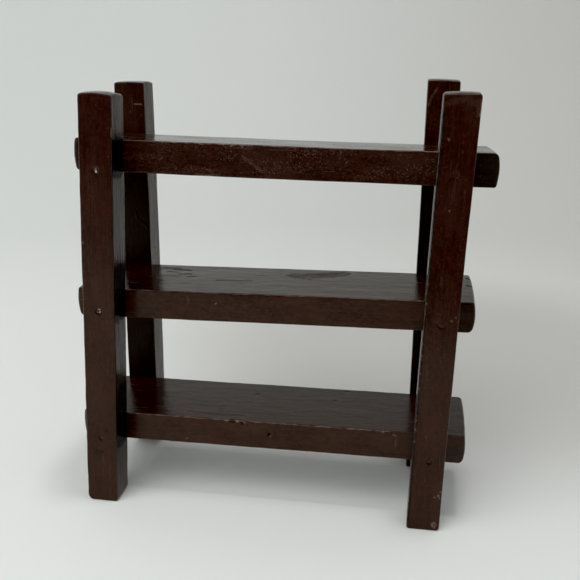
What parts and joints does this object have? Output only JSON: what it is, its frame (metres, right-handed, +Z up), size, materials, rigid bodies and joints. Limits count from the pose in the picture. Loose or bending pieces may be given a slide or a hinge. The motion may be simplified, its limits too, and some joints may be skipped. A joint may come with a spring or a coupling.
{
  "type": "miniature bookcase",
  "caption": "Open dolls' house bookcase: thick boards nailed between square posts, dark gloss-varnished wood.",
  "frame": {"origin": "on the floor, under the middle of the bookcase's box", "axes": "+X to the right seen from the front, +Y to the rear, +Z up"},
  "size_m": [0.158, 0.06, 0.1652],
  "materials": {
    "post_wood": "gloss varnish",
    "shelf_wood": "gloss varnish",
    "nail_steel": "varnished over, worn bright on some heads"
  },
  "bodies": {
    "root": {"front_left_post": "post_wood", "front_right_post": "post_wood", "rear_left_post": "post_wood", "rear_right_post": "post_wood", "bottom_shelf": "shelf_wood", "middle_shelf": "shelf_wood", "top_shelf": "shelf_wood", "front_left_nails": "nail_steel", "front_right_nails": "nail_steel", "rear_left_nails": "nail_steel", "rear_right_nails": "nail_steel"}
  },
  "joints": []
}
